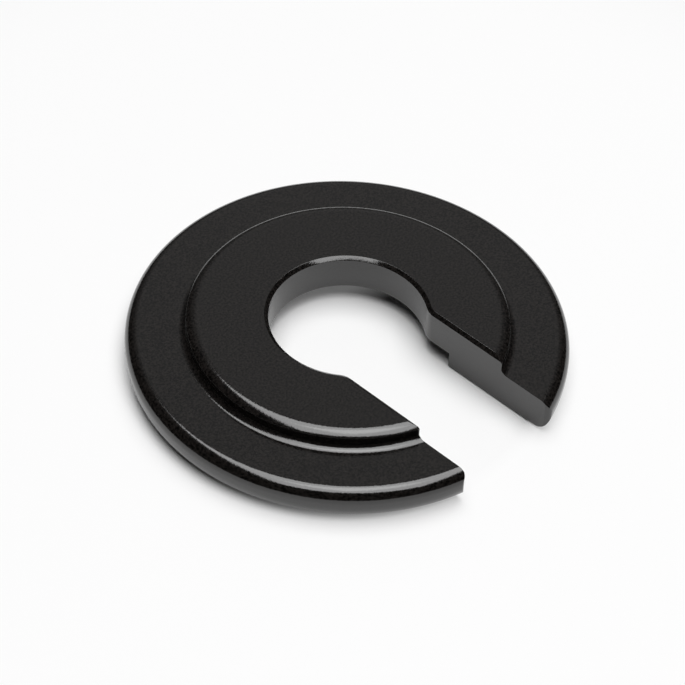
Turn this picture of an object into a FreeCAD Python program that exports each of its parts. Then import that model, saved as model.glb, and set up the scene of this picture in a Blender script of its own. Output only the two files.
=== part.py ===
import FreeCAD, Part
import math
import os

# Retainer clip for a coil spring: a slotted collar turned and milled from one piece of aluminium.
# It slides sideways over a shaft, drops over a shoulder on it, and carries the end of the spring.
# Origin: on the bore's axis, at the underside. +Z is up, through the boss. The slot opens towards -Y.
# All lengths are in millimetres.

# Flange, the plate that the spring stands on
flange_diameter = 48.0
flange_thickness = 4.35
flange_top_radius = 1.45
flange_bottom_radius = 2.5

# Boss, the raised ring that centres the spring
boss_diameter = 34.8
boss_height = 1.85
boss_edge_radius = 1.9
boss_edge_width = 1.25
boss_foot_radius = 1.1
boss_foot_width = 0.85

# Bore and slot, which let the shaft in from the side
bore_diameter = 17.2
slot_width = 13.0
neck_radius = 2.2
tip_radius = 0.6
upper_rim_chamfer = 0.45

# Recess in the underside, which seats on the shoulder of the shaft
recess_diameter = 22.2
recess_depth = 2.05
recess_rim_chamfer = 0.25

# Working values
overrun = 5.0
total_height = flange_thickness + boss_height
flange_radius = flange_diameter / 2
boss_radius = boss_diameter / 2
ledge_width = flange_radius - boss_radius
slot_half_width = slot_width / 2
bore_radius = max(bore_diameter / 2, slot_half_width)
recess_radius = recess_diameter / 2
axis = FreeCAD.Vector(0, 0, 1)


def section_point(radius, height):
    """A point of the turned section, which is drawn in the middle of the slot, where no seam is left."""
    return FreeCAD.Vector(0, -radius, height)


def corner_round(centre_radius, centre_height, radius, start_angle, end_angle):
    """A round of the turned section. Angles are in degrees from the outward direction."""
    def on_round(angle):
        outward = radius * math.cos(math.radians(angle))
        upward = radius * math.sin(math.radians(angle))
        return section_point(centre_radius + outward, centre_height + upward)

    middle_angle = (start_angle + end_angle) / 2
    return Part.Arc(on_round(start_angle), on_round(middle_angle), on_round(end_angle))


def turned_blank():
    """The stepped disc as it leaves the lathe, with its edges rounded."""
    top_edge = min(flange_top_radius, 0.45 * flange_thickness, 0.45 * ledge_width)
    bottom_edge = min(flange_bottom_radius, 0.9 * (flange_thickness - top_edge))
    foot = max(boss_foot_radius, boss_foot_width)
    foot_end = math.degrees(math.acos(boss_foot_width / foot)) - 180
    boss_edge = max(boss_edge_radius, boss_edge_width)
    edge_start = math.degrees(math.acos(boss_edge_width / boss_edge))

    corners = [
        corner_round(flange_radius - bottom_edge, bottom_edge, bottom_edge, -90, 0),
        corner_round(flange_radius - top_edge, flange_thickness - top_edge, top_edge, 0, 90),
        corner_round(boss_radius + boss_foot_width, flange_thickness + foot, foot, -90, foot_end),
        corner_round(boss_radius - boss_edge_width, total_height - boss_edge, boss_edge, edge_start, 90),
    ]
    edges = []
    last_point = section_point(0, 0)
    for corner in corners:
        edges.append(Part.LineSegment(last_point, corner.StartPoint).toShape())
        edges.append(corner.toShape())
        last_point = corner.EndPoint
    top_centre = section_point(0, total_height)
    edges.append(Part.LineSegment(last_point, top_centre).toShape())
    edges.append(Part.LineSegment(top_centre, section_point(0, 0)).toShape())
    section = Part.Face(Part.Wire(edges))
    return section.revolve(FreeCAD.Vector(0, 0, 0), axis, 360)


def upright_edges(shape, x, y):
    """The vertical edges of shape that stand at x, y."""
    found = []
    for edge in shape.Edges:
        middle = edge.valueAt((edge.FirstParameter + edge.LastParameter) / 2)
        upright = len(edge.Vertexes) == 2 and edge.BoundBox.ZLength > total_height / 2
        if upright and math.hypot(middle.x - x, middle.y - y) < 0.01:
            found.append(edge)
    return found


def top_rim_edges(shape):
    """The top edges of shape along the bore and the slot, without those of its outer rim."""
    found = []
    for edge in shape.Edges:
        middle = edge.valueAt((edge.FirstParameter + edge.LastParameter) / 2)
        on_top = edge.BoundBox.ZLength < 0.001 and abs(middle.z - total_height) < 0.001
        inside = math.hypot(middle.x, middle.y) < flange_radius - 0.001
        if on_top and inside:
            found.append(edge)
    return found


def slotted_plate():
    """A plate of the full height with the bore and the slot milled through it, and their edges broken."""
    plate = Part.makeCylinder(flange_radius, total_height)
    bore = Part.makeCylinder(bore_radius, total_height)
    slot = Part.makeBox(
        slot_width, flange_radius + overrun, total_height,
        FreeCAD.Vector(-slot_half_width, -flange_radius - overrun, 0))
    plate = plate.cut(bore.fuse(slot)).removeSplitter()

    neck_y = -math.sqrt(bore_radius**2 - slot_half_width**2)
    necks = upright_edges(plate, slot_half_width, neck_y) + upright_edges(plate, -slot_half_width, neck_y)
    if bore_radius > slot_half_width:
        plate = plate.makeFillet(neck_radius, necks)

    plate = plate.makeChamfer(upper_rim_chamfer, top_rim_edges(plate))

    tip_y = -math.sqrt(flange_radius**2 - slot_half_width**2)
    tips = upright_edges(plate, slot_half_width, tip_y) + upright_edges(plate, -slot_half_width, tip_y)
    return plate.makeFillet(tip_radius, tips)


def recess_cutter():
    """The round recess under the bore, with a chamfer where it breaks through the underside."""
    recess = Part.makeCylinder(recess_radius, recess_depth)
    chamfer = Part.makeCone(recess_radius + recess_rim_chamfer, recess_radius, recess_rim_chamfer)
    return recess.fuse(chamfer)


clip = turned_blank().common(slotted_plate()).cut(recess_cutter())
clip = clip.removeSplitter()
clip = clip.Solids[0] if len(clip.Solids) == 1 else clip

os.makedirs("parts", exist_ok=True)
clip.exportStep("parts/spring_clip.step")
print("solids", len(clip.Solids), "valid", clip.isValid(), "volume", round(clip.Volume, 2))
print("box", clip.BoundBox)
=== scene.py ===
import math
import bmesh
import bpy
from mathutils import Matrix, Vector


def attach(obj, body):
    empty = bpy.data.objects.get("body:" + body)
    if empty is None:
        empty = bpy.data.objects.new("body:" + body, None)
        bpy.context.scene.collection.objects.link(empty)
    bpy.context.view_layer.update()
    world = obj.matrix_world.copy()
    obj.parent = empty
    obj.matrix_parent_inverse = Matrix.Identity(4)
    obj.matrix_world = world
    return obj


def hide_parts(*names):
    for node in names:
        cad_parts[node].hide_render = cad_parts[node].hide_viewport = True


# Studio view of the black anodised spring clip, lying flat on a white table.
# Lengths called _mm are in millimetres and angles are in degrees. Everything else is in metres.

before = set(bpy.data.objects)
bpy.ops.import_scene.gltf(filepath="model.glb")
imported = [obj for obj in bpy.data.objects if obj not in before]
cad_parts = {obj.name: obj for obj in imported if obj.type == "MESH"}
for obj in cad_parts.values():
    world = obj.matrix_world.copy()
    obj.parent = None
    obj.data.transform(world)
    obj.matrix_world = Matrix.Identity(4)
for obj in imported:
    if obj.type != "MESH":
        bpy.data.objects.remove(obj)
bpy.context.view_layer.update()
MM = 0.001

# The turned section of the clip, in the sizes of the CAD model
flange_radius_mm = 24.0
flange_thickness_mm = 4.35
flange_top_radius_mm = 1.45
flange_bottom_radius_mm = 2.5
boss_radius_mm = 17.4
boss_height_mm = 1.85
boss_edge_radius_mm = 1.9
boss_edge_width_mm = 1.25
boss_foot_radius_mm = 1.1
boss_foot_width_mm = 0.85
crease_radius_mm = 0.06
total_height_mm = flange_thickness_mm + boss_height_mm

# The bore, the slot and the recess
bore_radius_mm = 8.6
slot_half_width_mm = 6.5
neck_radius_mm = 2.2
tip_radius_mm = 0.65
upper_rim_width_mm = 0.44
upper_rim_height_mm = 0.31
lower_rim_radius_mm = 0.3
recess_radius_mm = 11.1
recess_depth_mm = 2.05
recess_rim_chamfer_mm = 0.25

# How finely the mesh is cut, and how far the cutters reach past the clip
turned_steps = 512
round_steps = 14
crease_steps = 5
bore_steps = 180
sharp_angle = 25
skin_mm = 0.008
overrun_mm = 3.0
overrun_factor = 1.4

# The finish: black anodising over a fine blast
oxide_ior = 1.7
least_roughness = 0.09
most_roughness = 0.16
grain_scale = 4200
cloud_scale = 900
grain_depth = 0.00004
grain_strength = 0.2
grain_colours = [(0.36, 0.0006, 0.0005, 0.0004), (0.64, 0.0130, 0.0110, 0.0100)]

# The table: white near the part and darker further out, which is painted shade, and a painted glow of
# emission around the part that makes it look overexposed
table_half_width = 3.0
table_drop = 0.00001
table_roughness = 0.6
table_white = 0.9
# Painted shade: the table's colour fades from white to this grey between these distances from the part
painted_shade_grey = 0.2
painted_shade_fades = 0.06, 0.16
# Painted light: how much emission is mixed into the table around the part and towards the rear,
# lightening the part's shadow and the floor under the back of the recess
glare = 0.5
glare_centre = (-0.0006, 0.0012, 0)
glare_grows = 0.0224, 0.0241
rear_glare = 0.12
rear_azimuth = 165
rear_glare_grows = 0.005, 0.0085
mirrored_glare_fades = 0.05, 0.095

# The room: grey levels by the cosine of the angle to the lit wall behind the part
wall_azimuth = 131
wall_elevation = 35
room_levels = [(0.55, 0.012), (0.774, 0.029), (0.928, 0.115), (1.0, 0.295)]

# The camera, at the photograph's angle
view_azimuth = -48.97
view_elevation = 46.06
view_roll = 2.97
view_distance = 0.288
aim_right_mm = -0.43
aim_up_mm = 1.315
lens_mm = 139.2
sensor_mm = 36.0


def compass(azimuth, elevation):
    """The direction from the part to a place around it. Azimuth 0 is towards -Y, 90 towards +X."""
    turn, rise = math.radians(azimuth), math.radians(elevation)
    return Vector((math.sin(turn) * math.cos(rise), -math.cos(turn) * math.cos(rise), math.sin(rise)))


def facing(direction, turn):
    """The rotation of a lamp or camera that stands in a direction and looks back at the part."""
    return direction.to_track_quat("Z", "Y").to_matrix() @ Matrix.Rotation(math.radians(turn), 3, "Z")


def arc_points(centre, radius, start_angle, end_angle, steps):
    """Points along an arc in a plane, both ends included."""
    points = []
    for step in range(steps + 1):
        turn = math.radians(start_angle + (end_angle - start_angle) * step / steps)
        points.append((centre[0] + radius * math.cos(turn), centre[1] + radius * math.sin(turn)))
    return points


def eased_corner(radius, width):
    """A wide round that meets its wall at an angle, as offsets from the square corner, wall end first."""
    small = crease_radius_mm
    rise = math.sqrt((radius - small)**2 - (width - small)**2)
    turn = math.degrees(math.atan2(rise, width - small))
    points = arc_points((-small, rise - radius), small, 0, turn, round_steps)
    return points + arc_points((-width, -radius), radius, turn, 90, round_steps)[1:]


def turned_section():
    """The outer section of the clip as (radius, height), from the underside to the top of the boss."""
    outer = flange_radius_mm - skin_mm
    low, high = flange_bottom_radius_mm, flange_top_radius_mm
    points = arc_points((outer - low, low), low, -90, 0, round_steps)
    points += arc_points((outer - high, flange_thickness_mm - high), high, 0, 90, round_steps)
    for out, up in reversed(eased_corner(boss_foot_radius_mm, boss_foot_width_mm)):
        points.append((boss_radius_mm - out, flange_thickness_mm - up))
    for out, up in eased_corner(boss_edge_radius_mm, boss_edge_width_mm):
        points.append((boss_radius_mm + out, total_height_mm + up))
    return points


def level_ring(radius, height):
    """Points of a level circle. The first one lies in the middle of the slot."""
    points = []
    for step in range(turned_steps):
        turn = 2 * math.pi * step / turned_steps
        points.append((radius * math.sin(turn), -radius * math.cos(turn), height))
    return points


def slot_outline(widening):
    """The bore and the slot from above, as one closed line, with the walls moved outwards by widening."""
    half_width = slot_half_width_mm + widening
    bore = bore_radius_mm + widening
    neck = neck_radius_mm - widening
    tip = max(tip_radius_mm - widening, skin_mm)
    reach = flange_radius_mm + skin_mm

    tip_x = half_width + tip
    tip_y = -math.sqrt((reach - tip)**2 - tip_x**2)
    tip_angle = math.degrees(math.atan2(tip_y, tip_x))
    neck_x = half_width + neck
    neck_y = -math.sqrt((bore + neck)**2 - neck_x**2)
    neck_angle = math.degrees(math.atan2(-neck_y, -neck_x))

    half = [(tip_x * overrun_factor, tip_y * overrun_factor)]
    half += arc_points((tip_x, tip_y), tip, tip_angle, -180, round_steps)
    half += arc_points((neck_x, neck_y), neck, 180, neck_angle, round_steps)
    half += arc_points((0, 0), bore, neck_angle - 180, 90, bore_steps)[1:]
    return half + [(-x, y) for x, y in reversed(half[:-1])]


def slot_layers():
    """The cutter for the bore and the slot: an outline per height, wider where the edges are broken."""
    low = lower_rim_radius_mm
    slope = math.degrees(math.atan2(upper_rim_height_mm, upper_rim_width_mm))
    wall_ease = crease_radius_mm * math.tan(math.radians(90 - slope) / 2)
    flat_ease = crease_radius_mm * math.tan(math.radians(slope) / 2)
    wall_end = crease_radius_mm, total_height_mm - upper_rim_height_mm - wall_ease
    flat_end = upper_rim_width_mm + flat_ease, total_height_mm - crease_radius_mm

    side = [(low, -overrun_mm)]
    side += arc_points((low, low), low, -90, -180, round_steps)
    side += arc_points(wall_end, crease_radius_mm, 180, 90 + slope, crease_steps)
    side += arc_points(flat_end, crease_radius_mm, 90 + slope, 90, crease_steps)
    side.append((flat_end[0], total_height_mm + overrun_mm))
    return [[(x, y, height) for x, y in slot_outline(widening)] for widening, height in side]


def stacked_solid(name, rings):
    """A closed solid through a stack of rings with as many points each."""
    mesh = bmesh.new()
    levels = [[mesh.verts.new(Vector(point) * MM) for point in ring] for ring in rings]
    count = len(levels[0])
    for lower, upper in zip(levels, levels[1:]):
        for k in range(count):
            after = (k + 1) % count
            mesh.faces.new((lower[k], lower[after], upper[after], upper[k]))
    mesh.faces.new(reversed(levels[0]))
    mesh.faces.new(levels[-1])
    bmesh.ops.recalc_face_normals(mesh, faces=mesh.faces)
    data = bpy.data.meshes.new(name)
    mesh.to_mesh(data)
    mesh.free()
    solid = bpy.data.objects.new(name, data)
    bpy.context.scene.collection.objects.link(solid)
    return solid


def build_clip():
    """The clip with true rounds: the turned blank, less the bore and slot, less the recess."""
    clip = stacked_solid("clip_body", [level_ring(radius, height) for radius, height in turned_section()])
    recess_rings = [
        level_ring(recess_radius_mm + recess_rim_chamfer_mm + overrun_mm, -overrun_mm),
        level_ring(recess_radius_mm, recess_rim_chamfer_mm),
        level_ring(recess_radius_mm, recess_depth_mm),
    ]
    cutters = [
        stacked_solid("slot_cutter", slot_layers()),
        stacked_solid("recess_cutter", recess_rings),
    ]
    for cutter in cutters:
        cut = clip.modifiers.new(cutter.name, "BOOLEAN")
        cut.operation = "DIFFERENCE"
        cut.solver = "EXACT"
        cut.object = cutter
    cut_clip = clip.evaluated_get(bpy.context.evaluated_depsgraph_get())
    finished = bpy.data.meshes.new_from_object(cut_clip)
    clip.modifiers.clear()
    clip.data = finished
    for cutter in cutters:
        bpy.data.objects.remove(cutter)

    finished.polygons.foreach_set("use_smooth", [True] * len(finished.polygons))
    finished.set_sharp_from_angle(angle=math.radians(sharp_angle))
    even = clip.modifiers.new("even_flats", "WEIGHTED_NORMAL")
    even.mode = "FACE_AREA"
    even.keep_sharp = True
    return clip


def node_maker(owner):
    """A maker of shader nodes in the emptied node tree of a material or the world."""
    owner.use_nodes = True
    tree = owner.node_tree
    tree.nodes.clear()

    def add(kind, inputs, **settings):
        """A node of this kind. Each input takes a value, or the output that feeds it."""
        node = tree.nodes.new("ShaderNode" + kind)
        for name, value in settings.items():
            setattr(node, name, value)
        for name, value in inputs.items():
            if isinstance(value, bpy.types.NodeSocket):
                tree.links.new(value, node.inputs[name])
            else:
                node.inputs[name].default_value = value
        return node

    return add


def measured(add, operation, place, other):
    """The distance of a place from another one, or the dot product of the two."""
    return add("VectorMath", {0: place, 1: other}, operation=operation).outputs["Value"]


def combined(add, operation, first, second):
    """The product or the larger of two values."""
    return add("Math", {0: first, 1: second}, operation=operation).outputs["Value"]


def mapped(add, value, span, low, high, **settings):
    """The value, with its span mapped to the range from low to high."""
    inputs = {"Value": value, "From Min": span[0], "From Max": span[1], "To Min": low, "To Max": high}
    return add("MapRange", inputs, **settings).outputs["Result"]


def coloured(add, value, stops):
    """The colour of a ramp at this value. Its stops are (position, red, green, blue)."""
    ramp = add("ValToRGB", {"Fac": value})
    elements = ramp.color_ramp.elements
    elements[0].position, elements[1].position = stops[0][0], stops[-1][0]
    for stop in stops[1:-1]:
        elements.new(stop[0])
    for element, stop in zip(elements, stops):
        element.color = (*stop[1:], 1)
    return ramp.outputs["Color"]


def anodised_black():
    """Black anodised aluminium, finely blasted before the anodising."""
    material = bpy.data.materials.new("black_anodised")
    add = node_maker(material)
    place = add("TexCoord", {}).outputs["Object"]
    grain = add("TexNoise", {"Vector": place, "Scale": grain_scale, "Detail": 2.0}).outputs["Fac"]
    cloud = add("TexNoise", {"Vector": place, "Scale": cloud_scale, "Detail": 3.0}).outputs["Fac"]
    bump = add("Bump", {"Height": grain, "Strength": grain_strength, "Distance": grain_depth})
    surface = add("BsdfPrincipled", {
        "Base Color": coloured(add, grain, grain_colours),
        "Roughness": mapped(add, cloud, (0, 1), least_roughness, most_roughness),
        "IOR": oxide_ior,
        "Normal": bump.outputs["Normal"],
    })
    add("OutputMaterial", {"Surface": surface.outputs["BSDF"]})
    return material


def white_table():
    """A matt white table with a painted glow: emission mixed in around the part for the camera and in
    reflections, which lightens the part's shadow and makes the table look overexposed.
    """
    material = bpy.data.materials.new("white_table")
    add = node_maker(material)
    place = add("TexCoord", {}).outputs["Object"]
    # Painted light: a glow mask that grows outwards from the part's edge and towards the rear
    reach = measured(add, "DISTANCE", place, glare_centre)
    rearward = measured(add, "DOT_PRODUCT", place, compass(rear_azimuth, 0))
    around = mapped(add, reach, glare_grows, 0, glare)
    rear = mapped(add, rearward, rear_glare_grows, 0, rear_glare)
    painted_glow = combined(add, "MAXIMUM", around, rear)

    ray = add("LightPath", {}).outputs
    mirrored = combined(add, "MAXIMUM", ray["Is Glossy Ray"], ray["Is Transmission Ray"])
    mirrored = combined(add, "MULTIPLY", mirrored, mapped(add, reach, mirrored_glare_fades, 1, 0))
    seen = combined(add, "MAXIMUM", ray["Is Camera Ray"], mirrored)

    # Painted shade: the colour darkens from white to grey away from the part
    shade = mapped(add, reach, painted_shade_fades, table_white, painted_shade_grey, interpolation_type="SMOOTHSTEP")
    surface = add("BsdfPrincipled", {"Base Color": shade, "Roughness": table_roughness})
    # Painted light: the table glows with emission where the mask is set, for the camera and in
    # reflections
    mix = add("MixShader", {
        "Fac": combined(add, "MULTIPLY", painted_glow, seen),
        1: surface.outputs["BSDF"],
        2: add("Emission", {}).outputs["Emission"],
    })
    add("OutputMaterial", {"Surface": mix.outputs["Shader"]})
    return material


def build_table():
    """The table top, just under the part."""
    data = bpy.data.meshes.new("table_top")
    signs = (-1, -1), (1, -1), (1, 1), (-1, 1)
    corners = [(x * table_half_width, y * table_half_width, 0) for x, y in signs]
    data.from_pydata(corners, [], [(0, 1, 2, 3)])
    data.materials.append(white_table())
    table_top = bpy.data.objects.new("table_top", data)
    table_top.location.z = -table_drop
    bpy.context.scene.collection.objects.link(table_top)
    return table_top


def dark_room():
    """A dark room with one lit wall behind the part, which the flat faces reflect."""
    world = bpy.data.worlds.new("studio")
    add = node_maker(world)
    direction = add("TexCoord", {}).outputs["Generated"]
    wallward = measured(add, "DOT_PRODUCT", direction, compass(wall_azimuth, wall_elevation))
    greys = [(position, level, level, level) for position, level in room_levels]
    glow = add("Background", {"Color": coloured(add, wallward, greys)})
    add("OutputWorld", {"Surface": glow.outputs["Background"]})
    return world


def soft_panel(name, azimuth, elevation, distance, width, height, radiance, turn=0):
    """A soft light that faces the part, as bright as radiance wherever it shows in a reflection."""
    light = bpy.data.lights.new(name, "AREA")
    light.shape = "RECTANGLE"
    light.size = width
    light.size_y = height
    light.energy = radiance * math.pi * width * height
    panel = bpy.data.objects.new(name, light)
    direction = compass(azimuth, elevation)
    panel.matrix_world = Matrix.Translation(direction * distance) @ facing(direction, turn).to_4x4()
    bpy.context.scene.collection.objects.link(panel)


def photo_camera():
    """The camera, where the photographer held it."""
    data = bpy.data.cameras.new("photo_camera")
    data.lens = lens_mm
    data.sensor_width = sensor_mm
    data.clip_start = 0.01
    data.clip_end = 20
    camera = bpy.data.objects.new("photo_camera", data)
    bpy.context.scene.collection.objects.link(camera)
    direction = compass(view_azimuth, view_elevation)
    turned = facing(direction, view_roll)
    right, up = turned.col[0], turned.col[1]
    eye = direction * view_distance + (right * aim_right_mm + up * aim_up_mm) * MM
    camera.matrix_world = Matrix.Translation(eye) @ turned.to_4x4()
    return camera


# The part
clip = build_clip()
clip.data.materials.clear()
clip.data.materials.append(anodised_black())
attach(clip, "root")
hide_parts("spring_clip")

# The table
table_top = build_table()

# The light: a wide panel overhead, a small brighter one before it, and the room
soft_panel("overhead_light", 59, 85, distance=1.0, width=1.08, height=0.95, radiance=3.9, turn=-18)
soft_panel("overhead_core", 80, 86, distance=0.95, width=0.35, height=0.35, radiance=1.9)
bpy.context.scene.world = dark_room()

# The picture
bpy.context.scene.camera = photo_camera()
bpy.context.scene.view_settings.view_transform = "Standard"

bpy.context.view_layer.update()
